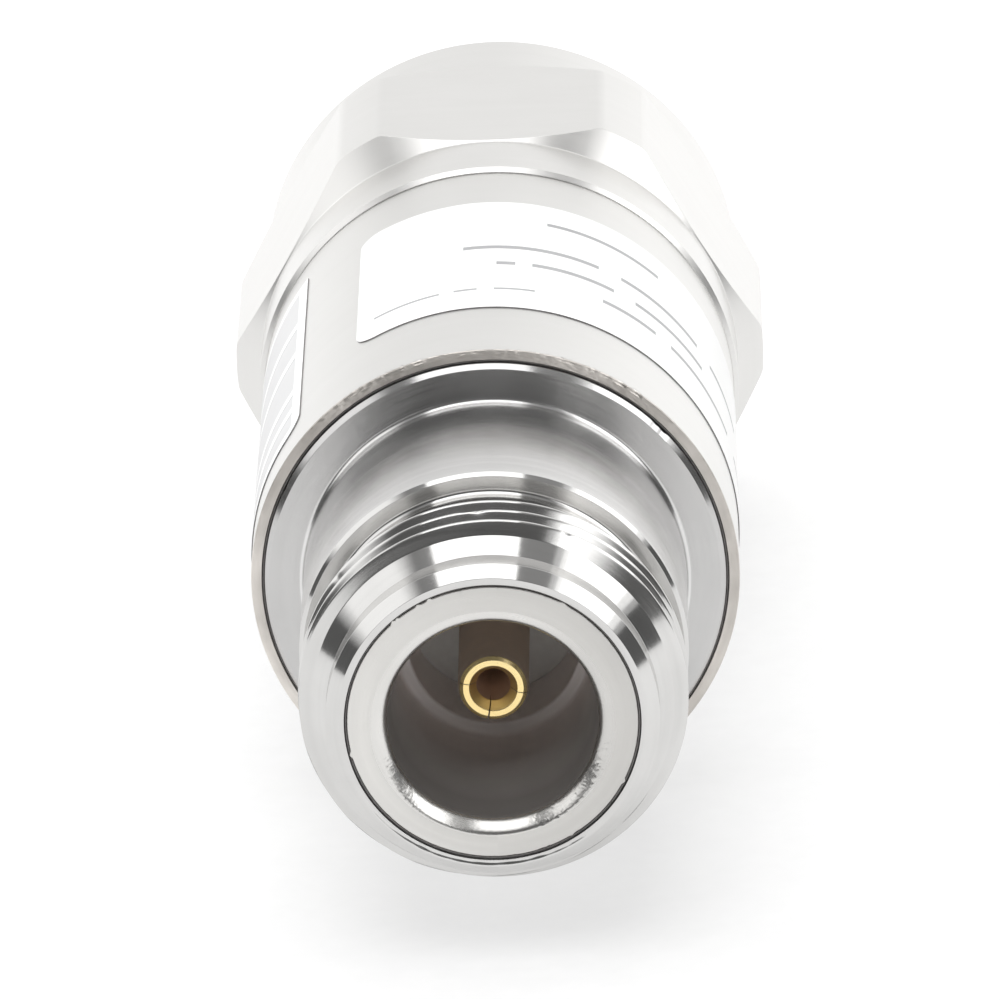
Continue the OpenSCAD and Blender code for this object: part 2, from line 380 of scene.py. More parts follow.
M_SHELL = turned_metal("polished_plate", (0.68, 0.675, 0.665), (0.61, 0.605, 0.595), 0.13, aniso=0.8, lines=0.08,
                       haze=0.025)
M_NECK = turned_metal("polished_plate_fine", (0.74, 0.735, 0.73), (0.66, 0.655, 0.65), 0.20, aniso=0.8, lines=0.05,
                      haze=0.09, grain=0.03)
# painted shade: a darker copy of the neck's plating for the flange, standing in for the darker reflection there
M_FLANGE_SHADED = turned_metal("polished_plate_flange_shaded", (0.60, 0.595, 0.59), (0.53, 0.525, 0.52), 0.20, aniso=0.8, lines=0.06,
                        haze=0.09, grain=0.03)
# painted shade: the lip is painted darker towards +X, holding down the light that falls there
M_LIP = turned_metal("satin_plate_lip", (0.74, 0.73, 0.71), (0.66, 0.65, 0.63), 0.24, aniso=0.4, lines=0.08, grain=0.12,
                     painted_side_shade=(0.03, -0.40, 0.001, 0.0042))
# painted shade: the face ring is painted lighter towards -X and darker towards +X
M_FACE = turned_metal("satin_plate", (0.69, 0.68, 0.658), (0.615, 0.605, 0.584), 0.36, aniso=0.3, lines=0.10,
                      grain=0.45, haze=0.05, painted_side_shade=(0.24, -0.17, -0.005, 0.005))
M_FERRULE = turned_metal("satin_plate_plug", (0.69, 0.68, 0.658), (0.615, 0.605, 0.584), 0.36, aniso=0.3, lines=0.10,
                         grain=0.45, haze=0.05)
M_BODY = turned_metal("body_plate", (0.768, 0.763, 0.748), (0.743, 0.737, 0.721), 0.33, aniso=0.5, lines=0.02,
                      line_mm=9.0, grain=0.01, wander=0.1)
M_RIM = turned_metal("rim_cut", (0.84, 0.80, 0.755), (0.45, 0.425, 0.395), 0.42, aniso=0.5, lines=0.6, line_mm=9.0,
                     grain=0.6, haze=0.2, streak=9.0)
M_NUT = turned_metal("nut_plate", (0.772, 0.766, 0.752), (0.747, 0.741, 0.726), 0.32, aniso=0.3, lines=0.015,
                     line_mm=9.0, grain=0.008, wander=0.1)
M_GOLD = turned_metal("gold_plate", (1.0, 0.82, 0.42), (0.95, 0.70, 0.30), 0.26, aniso=0.3, lines=0.1)
# painted shade: darker copies of the gold plating for the inside of the fingers and for everything deeper in the bore
M_GOLD_IN_SHADED = turned_metal("gold_plate_inner_shaded", (0.95, 0.80, 0.45), (0.80, 0.62, 0.32), 0.34, aniso=0.3, lines=0.05)
M_GOLD_SHADED = matte("gold_plate_shaft_shaded", (0.58, 0.475, 0.375), (0.48, 0.39, 0.305), 0.50, 1500.0, 0.0, 0.004, metallic=0.35)



def dull_bore_painted_light(name, y0, y1, stops, metallic):
    """Dull plated bore with painted light and shade: its colour is darker towards the mouth and much lighter deeper in.
    """
    m, nt, bs = new_mat(name)
    obj, x, y, z, r, ang = coords(nt)
    n1 = noise(nt, obj, 900.0, 3.0, 0.55)
    depth = math_node(nt, "ADD", span(nt, y, 0.0, 1.0, y0 * MM, y1 * MM), math_node(nt, "MULTIPLY", n1, 0.04))
    nt.links.new(ramp(nt, depth, stops), bs.inputs["Base Color"])
    nt.links.new(span(nt, n1, 0.5, 0.62, 0.3, 0.7), bs.inputs["Roughness"])
    nt.links.new(bump(nt, n1, 0.05, 0.00001), bs.inputs["Normal"])
    bs.inputs["Metallic"].default_value = metallic
    return m


# painted light and shade: the bore runs from dark at its mouth to pale deep inside
M_BORE = dull_bore_painted_light("satin_plate_bore", 0.6, 9.0, [
    (0.02, (0.15, 0.141, 0.134)), (0.2, (0.20, 0.188, 0.18)), (0.45, (0.42, 0.395, 0.38)), (0.75, (0.78, 0.735, 0.715)),
    (1.0, (0.95, 0.905, 0.885))], 0.3)
# painted light: the socket's well runs from dark gold near the tip to pale gold deep inside
M_GOLD_WELL = dull_bore_painted_light("gold_plate_well", 4.2, 10.0, [
    (0.02, (0.60, 0.45, 0.36)), (0.3, (0.90, 0.72, 0.60)), (1.0, (0.97, 0.82, 0.70))], 0.1)
M_PTFE = matte("insulator", (0.86, 0.86, 0.84), (0.76, 0.76, 0.74), 0.45, 1800.0, 0.15, 0.01)
M_BRASS = turned_metal("block_brass", (0.80, 0.64, 0.34), (0.66, 0.50, 0.24), 0.28)
M_STEEL = turned_metal("spring_steel", (0.56, 0.56, 0.57), (0.42, 0.42, 0.43), 0.25)
M_RUBBER = matte("gasket_rubber", (0.42, 0.13, 0.08), (0.30, 0.09, 0.055), 0.62, 3000.0, 0.35, 0.02)
M_FILM = matte("label_film", (0.94, 0.94, 0.935), (0.90, 0.90, 0.895), 0.34, 1500.0, 0.0, 0.004)
M_FIELD = matte("label_field", (0.66, 0.66, 0.665), (0.63, 0.63, 0.635), 0.36, 1500.0, 0.0, 0.004)
M_EDGE = matte("label_edge", (0.30, 0.29, 0.29), (0.16, 0.155, 0.155), 0.6, 4000.0, 0.3, 0.01)
M_INK = matte("label_ink", (0.40, 0.40, 0.41), (0.33, 0.33, 0.34), 0.40, 2500.0, 0.0, 0.004)
M_JOINT = matte("joint_fill", (0.36, 0.345, 0.34), (0.26, 0.25, 0.245), 0.7, 6000.0, 0.4, 0.02)

# resistor card: pale ceramic with a dark film strip and metallised ends
M_CARD, nt, bs = new_mat("card_ceramic")
obj, x, y, z, r, ang = coords(nt)
n1 = noise(nt, obj, 2600.0, 4.0, 0.6)
film = math_node(nt, "MULTIPLY", math_node(nt, "LESS_THAN", math_node(nt, "ABSOLUTE", x), 0.0024),
                 math_node(nt, "LESS_THAN", math_node(nt, "ABSOLUTE", math_node(nt, "SUBTRACT", y, 0.02776)), 0.0033))
ends = math_node(nt, "GREATER_THAN", math_node(nt, "ABSOLUTE", math_node(nt, "SUBTRACT", y, 0.02776)), 0.0036)
base = ramp(nt, n1, [(0.35, (0.80, 0.78, 0.73)), (0.65, (0.88, 0.86, 0.82))])
dark = ramp(nt, n1, [(0.35, (0.045, 0.04, 0.04)), (0.65, (0.09, 0.08, 0.075))])
silver = ramp(nt, n1, [(0.35, (0.62, 0.61, 0.58)), (0.65, (0.74, 0.73, 0.70))])
mixer = nt.nodes.new("ShaderNodeMix"); mixer.data_type = "RGBA"
nt.links.new(film, mixer.inputs["Factor"]); nt.links.new(base, mixer.inputs[6]); nt.links.new(dark, mixer.inputs[7])
mixer2 = nt.nodes.new("ShaderNodeMix"); mixer2.data_type = "RGBA"
nt.links.new(ends, mixer2.inputs["Factor"]); nt.links.new(mixer.outputs[2], mixer2.inputs[6])
nt.links.new(silver, mixer2.inputs[7])
nt.links.new(mixer2.outputs[2], bs.inputs["Base Color"])
nt.links.new(span(nt, n1, 0.4, 0.6, 0.3, 0.7), bs.inputs["Roughness"])
nt.links.new(bump(nt, n1, 0.2, 0.00001), bs.inputs["Normal"])

# ---------------------------------------------------------------- jack shell, with its thread cut
TOP, DEPTH = THREAD_R, 0.6134 * PITCH


def thread_r(y, phi, crest_y, outer=THREAD_R, depth=DEPTH, inside=False):
    """Radius of a 60 degree right-hand thread whose crest passes crest_y at the top."""
    s = (y - crest_y - PITCH * phi / (2 * np.pi)) / PITCH
    s = np.abs(s - np.round(s)) * PITCH                     # distance from the crest's middle
    flat = PITCH / 16
    d = np.clip((s - flat) * math.sqrt(3), 0, depth)
    k = 0.035                                               # crest and root are slightly rounded
    d = np.where(s < flat + k, np.clip(s - flat + k, 0, None) ** 2 * math.sqrt(3) / (4 * k), d)
    return outer + d if inside else outer - d


ys = np.arange(1.99, 5.27, 0.024)
shell = rounded([
    (SLEEVE_R, 0.0, 0.03), (6.07, 0.0, 0.0), (6.12, 0.0, 0.0), (6.16, 0.0, 0.0), (6.20, 0.0, 0.0), (6.24, 0.0, 0.0), (6.30, 0.0, 0.03), (6.38, 0.0766, 0.0), (6.46, 0.1532, 0.0),
    (6.56, 0.2489, 0.0), (6.77, 0.45, 0.04), (6.77, 1.38, 0.04), (7.375, 1.975, 0.0)])
blank = [(7.38, 1.98), (THREAD_R, 2.13), (THREAD_R, 4.73), (RELIEF_R, 5.23)]
br, by = np.array([b[0] for b in blank]), np.array([b[1] for b in blank])
rear = rounded([
    (RELIEF_R, 5.30, 0.0), (RELIEF_R, RELIEF_END, 0.22), (NECK_R - 0.15, RELIEF_END, 0.02),
    (NECK_R, RELIEF_END + 0.15, 0.03), (NECK_R, JACK_L, 0.22), (FLANGE_R - 0.2, JACK_L, 0.04),
    (FLANGE_R, JACK_L + 0.2, 0.04), (FLANGE_R, FLANGE_BACK, 0.05), (BODY_BORE_R, FLANGE_BACK, 0.05),
    (BODY_BORE_R, BLOCK_Y0, 0.1), (LINE_R, BLOCK_Y0, 0.1), (LINE_R, SLEEVE_END, 0.1), (SLEEVE_R, SLEEVE_END, 0.1)],
    closed=False)
prof = np.vstack([shell, np.stack([np.interp(ys, by, br), ys], -1), rear])
n_a, n_t = len(shell), len(ys)


def cut_thread(R, Y, P):
    R = R.copy()
    t = slice(n_a, n_a + n_t)
    p = np.where(P[t] > np.pi, P[t] - 2 * np.pi, P[t])
    cut = thread_r(Y[t], p, 2.30)
    # small nicks on the crests
    for a, y0, dep, wa, wy in ((-0.040, 3.34, 0.07, 0.03, 0.09), (-0.10, 3.40, 0.04, 0.03, 0.08),
                               (0.42, 2.34, 0.03, 0.012, 0.07), (-0.9, 4.18, 0.03, 0.02, 0.09), (2.2, 3.7, 0.04, 0.02, 0.1)):
        rag = 0.5 + vnoise(p * 55, Y[t] * 14)
        cut = cut - dep * rag * np.exp(-((p - a) / wa) ** 2 - ((Y[t] - y0) / wy) ** 2)
    R[t] = np.minimum(R[t], cut)
    # scuffs low on the nose, chips on the flange's edge
    Y = Y.copy()
    a = slice(0, n_a)
    worn = zone(P[a], 155, 232, 0.35) * (Y[a] < 0.5)
    land = np.clip((R[a] - 6.01) / 0.05, 0, 1) * np.clip((6.235 - R[a]) / 0.095, 0, 1)
    slope = np.clip((R[a] - 6.28) / 0.05, 0, 1) * np.clip((6.6 - R[a]) / 0.1, 0, 1)
    Y[a] = Y[a] + worn * (land * (0.022 + 0.03 * vnoise(P[a] * 15, R[a] * 3)) + slope * (vnoise(P[a] * 17, R[a] * 26) - 0.5) * 0.03)
    rim = (R > FLANGE_R - 0.19) & (Y > JACK_L - 0.1) & (Y < JACK_L + 0.4)
    for c, w, dep in ((46.2, 1.1, 0.035), (48.6, 0.9, 0.06), (-63.0, 1.2, 0.03)):
        off = (P - math.radians(c) + np.pi) % (2 * np.pi) - np.pi
        R = np.where(rim, R - dep * np.exp(-(off / math.radians(w)) ** 2), R)
    return R, Y


COLS = 360
V, F = revolve(prof, COLS, cut_thread)
row_y = prof[:, 1]
row_r = prof[:, 0]
rear_rows = np.arange(len(prof)) > n_a + n_t
neck_rows = (row_y > RELIEF_END + 0.05) & (row_r > NECK_R - 0.16) & rear_rows
finish = neck_rows.astype(int)
# the flange rows take the darker painted-shade copy of the plating
finish[neck_rows & (row_y > JACK_L - 0.01) & (row_r > NECK_R + 0.1)] = 2
make("jack_shell_turned", V, F, [M_SHELL, M_NECK, M_FLANGE_SHADED], np.repeat(finish, COLS),
     replaces="jack_shell")

# ---------------------------------------------------------------- jack inner sleeve
sleeve = rounded([
    (5.0, FACE_Y, 0.0), (5.15, FACE_Y, 0.0), (5.35, FACE_Y, 0.0), (5.6, FACE_Y, 0.0), (5.74, FACE_Y, 0.0),
    (FACE_EDGE_R, FACE_Y, 0.05), (FACE_EDGE_R, 0.22, 0.0), (FACE_EDGE_R, 0.34, 0.0), (FACE_R, 2.0, 0.03), (SLEEVE_R, 2.2, 0.03),
    (SLEEVE_R, SLEEVE_END, 0.08), (BEAD_R, SLEEVE_END, 0.08), (BEAD_R, BEAD_Y, 0.04), (LINE_R, BEAD_Y, 0.04),
    (LINE_R, SHOULDER_Y, 0.12), (BORE_R, SHOULDER_Y, 0.25), (BORE_R, 5.0, 0.0), (4.13, 3.6, 0.0), (4.19, 2.2, 0.0),
    (4.23, 1.3, 0.0), (4.26, FACE_Y + 0.7, 0.0)], closed=False)
arc = [(5.0 - 0.74 * math.sin(a), FACE_Y + 0.7 - 0.7 * math.cos(a)) for a in np.linspace(math.pi / 2, 0, 22)[1:-1]]
sleeve = np.vstack([sleeve, np.array(arc)])
n_s = len(sleeve)
# lower lip: a small round at the face, then almost a straight bevel into the mouth
low, e0, q = [], 0.0, np.array([5.0, FACE_Y])
for e1, rad in ((37, 0.28), (54, 1.5), (80, 0.6)):
    for e in np.radians(np.linspace(e0, e1, 40)):
        low.append(q + rad * np.array([math.sin(math.radians(e0)) - math.sin(e), math.cos(math.radians(e0)) - math.cos(e)]))
    q, e0 = low[-1], e1
low = np.array(low + [(q[0] - 0.02, FACE_Y + 0.7)])
way = np.concatenate([[0], np.cumsum(np.linalg.norm(np.diff(low, axis=0), axis=1))])
at = np.linspace(way[-1], 0, len(arc) + 2)
low = np.stack([np.interp(at, way, low[:, 0]), np.interp(at, way, low[:, 1])], -1)


def worn_face(R, Y, P):
    """Small chips and burrs on the outer edge of the face ring and a pitted lower lip."""
    R, Y = R.copy(), Y.copy()
    under = zone(P[0], 150, 215, 0.75)
    rows = np.append(np.arange(n_s - len(arc) - 1, n_s), 0)
    R[rows] += (low[:, 0] - sleeve[rows, 0])[:, None] * under
    Y[rows] += (low[:, 1] - sleeve[rows, 1])[:, None] * under
    over = zone(P[0], -55, 55, 0.8)
    R[rows] -= (R[rows] - 4.26) * 0.24 * over
    Y[rows] -= (Y[rows] - FACE_Y) * 0.28 * over
    for k, wide in ((2, 0.17), (3, 0.10), (4, 0.04)):
        R[n_s - len(arc) - k] += wide * under
    edge = (R > 5.79) & (Y < 0.2)
    chip = np.clip(vnoise(P * 41, 3.0 + 0 * P) - 0.60, 0, 1) * np.clip(vnoise(P * 9, 40.0 + 0 * P) * 1.7 - 0.5, 0, 1)
    burr = sum(h * np.exp(-(((P - math.radians(a) + np.pi) % (2 * np.pi) - np.pi) / math.radians(w)) ** 2)
               for a, w, h in ((-40.5, 0.9, 0.11), (-38.4, 0.7, 0.08), (-28.6, 0.8, 0.07), (-23.5, 0.8, 0.10),
                               (-102, 1.1, 0.10), (31, 1.6, 0.06), (118, 1.0, 0.08), (149, 0.8, 0.06)))
    R = np.where(edge, R - 0.05 * chip + burr, R)
    Y = np.where(edge, Y + 0.05 * chip, Y)
    rough = zone(P, 103, 158) + zone(P, 218, 252) + 0.22 * zone(P, 158, 218)
    on_lip = np.clip((R - 4.25) / 0.06, 0, 1) * np.clip((5.1 - R) / 0.1, 0, 1) * (Y < 0.85)
    pit = (vnoise(P * 52, (R - Y) * 13) - 0.5) * 0.008 + (vnoise(P * 100, (R - Y) * 26 + 60) - 0.5) * 0.009
    hole = np.clip(vnoise(P * 90 + 17, (R - Y) * 24 + 90) - 0.72, 0, 1) * 0.08
    Y = Y + on_lip * rough * (pit + hole)
    return R, Y


COLS = 640
V, F = revolve(sleeve, COLS, worn_face)
inner = np.zeros(n_s, int)
inner[n_s - len(arc) - 1:] = 2
inner[[i for i in range(n_s) if sleeve[i][1] > 0.62 and sleeve[i][0] < 5.0]] = 1
make("jack_sleeve_turned", V, F, [M_FACE, M_BORE, M_LIP], np.repeat(inner, COLS),
     replaces="jack_sleeve")

# thin dark line of sealing compound in the joint round the face ring
V, F = revolve(rounded([(FACE_EDGE_R + 0.004, 0.2, 0.0), (SLEEVE_R - 0.004, 0.08, 0.0), (SLEEVE_R - 0.004, 0.7, 0.0),
                        (FACE_EDGE_R + 0.004, 0.7, 0.0)]), 160)
make("face_joint_fill", V, F, [M_JOINT])

# ---------------------------------------------------------------- gold socket: four spring fingers on a stem
SLOT, SLOT_END, TURN = 0.05, TIP_Y + 5.2, math.radians(11)
TIP_R = CORE_R - 0.07                                       # the fingers are bent in slightly
finger = rounded([
    (PIN_R + 0.19, TIP_Y, 0.04), (TIP_R - 0.22, TIP_Y, 0.04), (TIP_R - 0.07, TIP_Y + 0.09, 0.06),
    (TIP_R, TIP_Y + 0.34, 0.3), (TIP_R, SLOT_END + 0.05, 0.0), (PIN_R, SLOT_END + 0.05, 0.0),
    (PIN_R, TIP_Y + 1.3, 0.0), (PIN_R - 0.11, TIP_Y + 0.45, 0.08)])
parts, painted_gold_shading = [], []
half = SLOT / 2 / 1.25
pinch = np.where(finger[:, 1] < TIP_Y + 0.6, 1.0, 0.06)    # the slots narrow behind the tip
gaps = [half * 0.06, half * 0.8, half * 1.5, half * 0.8]                # the lowest slot stands widest, the top one is almost shut
for k in range(4):
    a0 = TURN + k * math.pi / 2 + gaps[k] * pinch
    a1 = TURN + (k + 1) * math.pi / 2 - gaps[(k + 1) % 4] * pinch
    parts.append(sector(finger, a0, a1, 26))
    after = np.roll(finger, -1, 0)
    # bright gold on the tip's face; painted-shade copies on the inner faces and behind the tip; the painted-light well
    # colour deep in the pin hole
    for (r0, y0), (r1, y1) in zip(finger, after):
        ym, rm = (y0 + y1) / 2, (r0 + r1) / 2
        painted_gold_shading += [(3 if rm < PIN_R + 0.01 and ym > TIP_Y + 0.6 else 1 if rm < PIN_R + 0.17 else 2 if rm > TIP_R - 0.07 or ym > TIP_Y + 0.43 else 0)] * 25
    painted_gold_shading += [2, 2]
stem = rounded([
    (PIN_R, SLOT_END, 0.0), (TIP_R, SLOT_END, 0.0), (TIP_R, 11.8, 0.0), (CORE_R, 11.85, 0.0), (CORE_R, CARD_Y0, 0.0), (0.9, CARD_Y0, 0.0),
    (0.9, TIP_Y + 6.3, 0.0), (PIN_R, TIP_Y + 6.0, 0.0)])
parts.append(revolve(stem, 96))
painted_gold_shading += [2] * 96 * (len(stem) - 2) + [3] * 96 * 2
core = rounded([(0, TIP_Y + 6.3, 0), (0.9, TIP_Y + 6.3, 0), (0.9, CARD_Y0, 0), (0, CARD_Y0, 0)], closed=False)
parts.append(spindle(core, 96))
painted_gold_shading += [3] * len(parts[-1][1])
for s in (1, -1):                                           # two jaws that hold the card
    w = math.asin(CARD_T / 2 / CORE_R)
    jaw = [(math.copysign(1, s) * 0, 0)]
    n = 17
    angs = np.linspace(-math.pi / 2 + w, math.pi / 2 - w, n)
    ring = [(CORE_R * math.sin(a), s * CORE_R * math.cos(a)) for a in angs]
    Vj = np.array([(px, yy, pz) for yy in (CARD_Y0, CARD_Y0 + GRIP) for px, pz in ring])
    Fj = [[i, i + 1, n + i + 1, n + i] for i in range(n - 1)] + [[n - 1, 0, n, 2 * n - 1],
         list(range(n))[::-1], list(range(n, 2 * n))]
    parts.append((Vj, outward(Vj, Fj)))
V, F = joined(parts)
painted_gold_shading += [2] * (len(F) - len(painted_gold_shading))
make("socket_contact_fingers", V, F, [M_GOLD, M_GOLD_IN_SHADED, M_GOLD_SHADED, M_GOLD_WELL], painted_gold_shading,
     replaces="socket_contact")

# ---------------------------------------------------------------- body tube, with a rough-cut rim
tube = rounded([
    (RIM_BORE_R, RIM_Y, 0.02), *[(RIM_BORE_R + 0.05 + 0.04 * k, RIM_Y, 0.0) for k in range(9)], (BODY_R - 0.03, RIM_Y, 0.015),
    (BODY_R, RIM_Y + 0.05, 0.02), (BODY_R, RIM_Y + 0.16, 0.0), (BODY_R, RIM_Y + 0.4, 0.0), (BODY_R, BODY_END + 0.125, 0.02),
    (BODY_BORE_R, BODY_END + 0.125, 0.06), (BODY_BORE_R, FLANGE_BACK, 0.04), (RIM_BORE_R, FLANGE_BACK, 0.04)])


def rough_rim(R, Y, P):
    """Sawn front edge of the tube, ragged round the top and smoother down the sides."""
    R, Y = R.copy(), Y.copy()
    top = 0.12 + 0.88 * zone(P, -38, 38, 0.25)
    front = (Y < RIM_Y + 0.1) & (R > RIM_BORE_R + 0.3)
    ragged = np.clip(vnoise(P * 60, 9.0 + 0 * P) - 0.42, 0, 1) * 0.09 + np.clip(vnoise(P * 150, 20.0 + 0 * P) - 0.45, 0, 1) * 0.07
    R = np.where(front, R - ragged * 0.5 * top, R)
    Y = np.where(front, Y + ragged * 1.1 * top, Y)
    face = (Y < RIM_Y + 0.2) & (R > RIM_BORE_R + 0.03) & (R < BODY_R - 0.005)
    Y = np.where(face, Y + ((vnoise(P * 110, R * 21) - 0.2) * 0.032 + (vnoise(P * 57 + 31, R * 12) - 0.2) * 0.022) * top, Y)
    return R, Y


COLS = 720
V, F = revolve(tube, COLS, rough_rim)
cut = np.array([1 if (p[1] < RIM_Y + 0.055 or (p[0] < RIM_BORE_R + 0.01)) else 0 for p in tube])
make("body_tube", V, F, [M_BODY, M_RIM], np.repeat(cut, COLS), replaces="body_sleeve")

# thin dark line of sealing compound in the joint round the flange
V, F = revolve(rounded([(FLANGE_R + 0.005, RIM_Y + 0.12, 0.0), (RIM_BORE_R - 0.005, RIM_Y + 0.08, 0.0),
                        (RIM_BORE_R - 0.005, RIM_Y + 0.8, 0.0), (FLANGE_R + 0.005, RIM_Y + 0.8, 0.0)]), 200)
make("rim_joint_fill", V, F, [M_JOINT])

# ---------------------------------------------------------------- two wrap labels with plain bars
def wrap_label(name, node, start, sweep, y0, y1, near, far, marks):
    """Thin film round the tube from start over sweep (degrees). near and far round its corners.
    marks are (from, to along the wrap; from, to along the axis; material), later ones on top."""
    a0, length = math.radians(start), math.radians(sweep) * BODY_R
    rho = max(near, far)
    arcs = rho * np.cos(np.linspace(0, math.pi / 2, 12))
    us = set(np.round(np.concatenate([rho - arcs, length - rho + arcs, np.linspace(rho, length - rho, int(length * 6))]), 5))
    vs = set(np.round(np.linspace(y0, y1, 15), 5))
    for b in marks:
        us |= {round(b[0], 5), round(b[1], 5)}
        vs |= {round(b[2], 5), round(b[3], 5)}
    U, W = np.array(sorted(us)), np.array(sorted(vs))
    T = (W - y0) / (y1 - y0)

    def inset(rad):
        if rad <= 0:
            return 0 * U
        e = np.clip(rad - U, 0, rad) + np.clip(U - (length - rad), 0, rad)
        return rad - np.sqrt(np.maximum(rad ** 2 - e ** 2, 0))

    lo, hi = y0 + inset(near), y1 - inset(far)
    YY = lo[None] + T[:, None] * (hi - lo)[None]
    PH = np.repeat((a0 + U / BODY_R)[None], len(T), 0)
    outer = turn(np.full_like(YY, BODY_R + LABEL_T), YY, PH).reshape(-1, 3)
    under = turn(np.full_like(YY, BODY_R + 0.002), YY, PH).reshape(-1, 3)
    rows, cols = YY.shape
    q = grid_faces(rows, cols, False, False)
    top_f = [list(f) for f in q]
    bot_f = [list(f + rows * cols)[::-1] for f in q]
    ring = [j for j in range(cols)] + [i * cols + cols - 1 for i in range(1, rows)] + \
           [(rows - 1) * cols + j for j in range(cols - 2, -1, -1)] + [i * cols for i in range(rows - 2, 0, -1)]
    side_f = [[ring[k], ring[k - 1], ring[k - 1] + rows * cols, ring[k] + rows * cols] for k in range(len(ring))]
    um, vm = (U[1:] + U[:-1]) / 2, (W[1:] + W[:-1]) / 2
    grid = np.zeros((rows - 1, cols - 1), int)
    for b in marks:
        grid[np.ix_((vm > b[2]) & (vm < b[3]), (um > b[0]) & (um < b[1]))] = b[4]
    mat_i = list(grid.ravel()) + [0] * len(bot_f) + [1] * len(side_f)
    allv = np.vstack([outer, under])
    allf = outward(allv, top_f + bot_f + side_f)
    # the film's edge is kept crisp by giving its sides their own points
    n, base = len(ring), 2 * rows * cols
    allv = np.vstack([allv, allv[ring], allv[[k + rows * cols for k in ring]]])
    sides = [[base + k, base + (k - 1) % n, base + n + (k - 1) % n, base + n + k] for k in range(n)]
    flip = allf[0] != top_f[0]
    allf = allf[:len(top_f) + len(bot_f)] + ([f[::-1] for f in sides] if flip else sides)
    make(name, allv, allf, [M_FILM, M_EDGE, M_INK, M_FIELD], mat_i, replaces=node)


START, SWEEP = -32.8, 230.0
bars = []
for y_mid, words in ((28.0, ((-6, 27), (33, 58), (64, 82))), (26.05, ((2, 6.5), (10.5, 31), (37, 60))),
                     (24.2, ((28, 43), (48, 74), (80, 100))), (22.95, ((-28, -11.5), (-8, -2.5), (1.5, 11.2)))):
    tall = 0.2 if y_mid < 23 else 0.38
    for w0, w1 in words:
        bars.append((math.radians(w0 - START) * BODY_R, math.radians(w1 - START) * BODY_R, y_mid - tall / 2,
                     y_mid + tall / 2, 2))
bars.append((math.radians(14 - START) * BODY_R, math.radians(44 - START) * BODY_R, 31.15, 31.5, 2))
for k in range(4):                                          # plain rules on the far side
    bars.append((math.radians(140 - START) * BODY_R, math.radians(185 - START) * BODY_R, 23.2 + 2.4 * k, 23.34 + 2.4 * k, 2))
wrap_label("label_film_wrap", "label", START, SWEEP, LABEL_Y0, LABEL_Y1, 1.0, 1.0, bars)

side_len = math.radians(78) * BODY_R
field = [(0.6, side_len - 0.6, SIDE_Y0 + 0.7, SIDE_Y1 - 0.6, 3)]
for y_mid in (20.3, 22.4, 26.9, 30.4):
    field.append((0.6, side_len - 0.6, y_mid + 0.06, y_mid + 0.75, 0))
    field.append((0.6, side_len - 0.6, y_mid - 0.05, y_mid + 0.05, 2))
wrap_label("side_film", "side_label", -129.2, 78.0, SIDE_Y0, SIDE_Y1, 1.0, 0.0, field)

# ---------------------------------------------------------------- coupling nut: hexagon, collar and inside thread
fine = [0.0]
step_list = np.concatenate([np.linspace(0, 22.6, 17), np.linspace(23.0, 26.2, 17), np.linspace(26.8, 30, 6)])
quarter = np.unique(np.round(step_list, 4))
sect = np.concatenate([-quarter[::-1][1:-1], quarter]) if quarter[0] != 0 else \
    np.concatenate([-quarter[::-1][:-1], quarter[1:]])
sect = np.unique(np.round(np.concatenate([-quarter, quarter]), 4))
sect = sect[:-1]                                            # the last one starts the next flat
angles = np.concatenate([np.radians(60 * k + sect) for k in range(6)])
thread_ys = np.arange(NUT_Y1 - 0.62, NUT_Y0 + 4.9, -0.088)


def nut_outline(a):
    h = AF / 2 / math.cos(a)
    k = 0.11
    t = max(0.0, min(1.0, 0.5 + 0.5 * (CORNER_R - h) / k))
    R = CORNER_R * (1 - t) + h * t - k * t * (1 - t)        # soft meeting of flat and turned corner
    pts = rounded([
        (SHANK_R + RUN, NUT_Y0, 0.06, 3), (COLLAR_R - 0.19, NUT_Y0, 0.02, 2), (COLLAR_R, NUT_Y0 + 0.19, 0.05, 3),
        (COLLAR_R, CONE_Y, 0.18, 4), (R, CONE_Y + R - COLLAR_R, 0.07, 4), (R, BARREL_Y - (R - BARREL_R), 0.07, 4),
        (BARREL_R, BARREL_Y, 0.12, 4), (BARREL_R, NUT_Y1 - 0.2, 0.05, 3), (BARREL_R - 0.2, NUT_Y1, 0.05, 3),
        (NUT_BORE_R + 0.5, NUT_Y1, 0.05, 3), (NUT_BORE_R + 0.05, NUT_Y1 - 0.45, 0.0)],
        closed=False)
    return pts


half_n = len(sect)
outs = [nut_outline(math.radians(s)) for s in sect]
outs = np.array(outs)                                        # sector columns, points, 2
outs = np.concatenate([outs] * 6, 0).transpose(1, 0, 2)      # points, columns, 2
ncol = outs.shape[1]
p = np.where(angles > np.pi, angles - 2 * np.pi, angles)
run_in = np.clip((NUT_Y1 - 0.5 - thread_ys) / 0.5, 0, 1)[:, None]
run_out = np.clip((thread_ys - (NUT_Y0 + 5.0)) / 0.6, 0, 1)[:, None]
rt = thread_r(thread_ys[:, None], p[None], 50.0, outer=7.36, depth=DEPTH, inside=True)
rt = NUT_BORE_R - (NUT_BORE_R - np.minimum(rt, NUT_BORE_R)) * run_in * run_out
inside = rounded([
    (NUT_BORE_R, NUT_Y0 + 4.85, 0.0), (NUT_BORE_R, NUT_Y0 + 4.1, 0.08), (SHANK_R + RUN, NUT_Y0 + 4.1, 0.05),
    (SHANK_R + RUN, RING_Y + RING_W + 0.15, 0.04), (SHANK_R + 0.77, RING_Y + RING_W + 0.15, 0.04),
    (SHANK_R + 0.77, RING_Y - 0.15, 0.04), (SHANK_R + RUN, RING_Y - 0.15, 0.04), (SHANK_R + RUN, NUT_Y0 + 0.5, 0.0)],
    closed=False)
